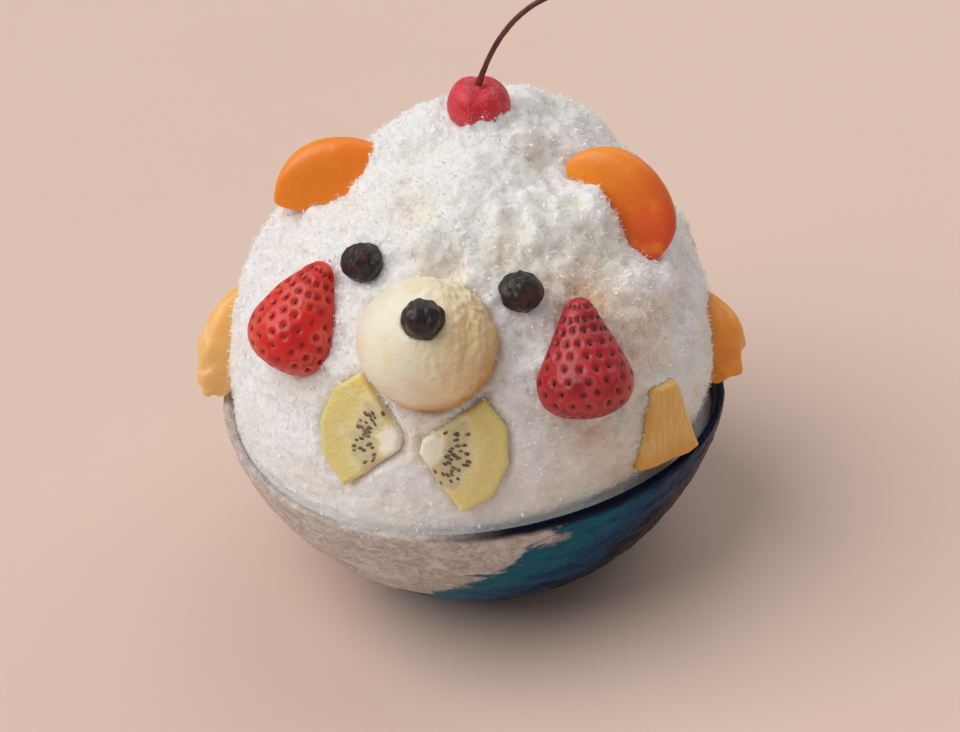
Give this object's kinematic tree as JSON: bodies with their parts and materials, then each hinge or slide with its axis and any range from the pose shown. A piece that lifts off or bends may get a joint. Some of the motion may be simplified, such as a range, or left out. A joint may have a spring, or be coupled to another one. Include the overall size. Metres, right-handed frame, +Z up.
{
  "type": "bingsu",
  "caption": "Shaved ice heaped in a hand-blown glass bowl and dressed as a bear's face with fruit, raisins and a ball of ice cream, a cherry on top.",
  "frame": {"origin": "middle of the flat foot of the bowl, on the table", "axes": "+Z up, the face looks towards -Y, +X to the right as the picture shows it"},
  "size_m": [0.1747, 0.158, 0.1975],
  "materials": {
    "tinted_glass": "hand-blown glass, clear at the left and teal to navy at the right, hammered and full of small bubbles",
    "shaved_ice": "feathery shaved ice, white and translucent",
    "ice_cream": "vanilla ice cream with a rough side, amber where it melts",
    "raisin": "wrinkled near-black skin, brown at its thin edges",
    "strawberry": "moist pitted red skin with pale rims and dark seeds",
    "mandarin": "wet peeled mandarin segment",
    "kiwi": "moist yellow-green kiwi slice with dark seeds and a pale core",
    "pineapple": "moist fibrous pineapple",
    "peach": "moist yellow peach, torn at one end",
    "cherry": "red cherry frosted with fine ice crystals",
    "cherry_stem": "thin maroon-brown stalk"
  },
  "bodies": {
    "root": {"bowl": "tinted_glass", "shaved_ice": "shaved_ice", "ice_cream_scoop": "ice_cream", "raisin_eye_left": "raisin", "raisin_eye_right": "raisin", "raisin_nose": "raisin", "strawberry_left": "strawberry", "strawberry_right": "strawberry", "mandarin_ear_left": "mandarin", "mandarin_ear_right": "mandarin", "kiwi_left": "kiwi", "kiwi_right": "kiwi", "pineapple_wedge": "pineapple", "peach_slice_left": "peach", "peach_slice_right": "peach", "cherry": "cherry", "cherry_stem": "cherry_stem"}
  },
  "joints": []
}
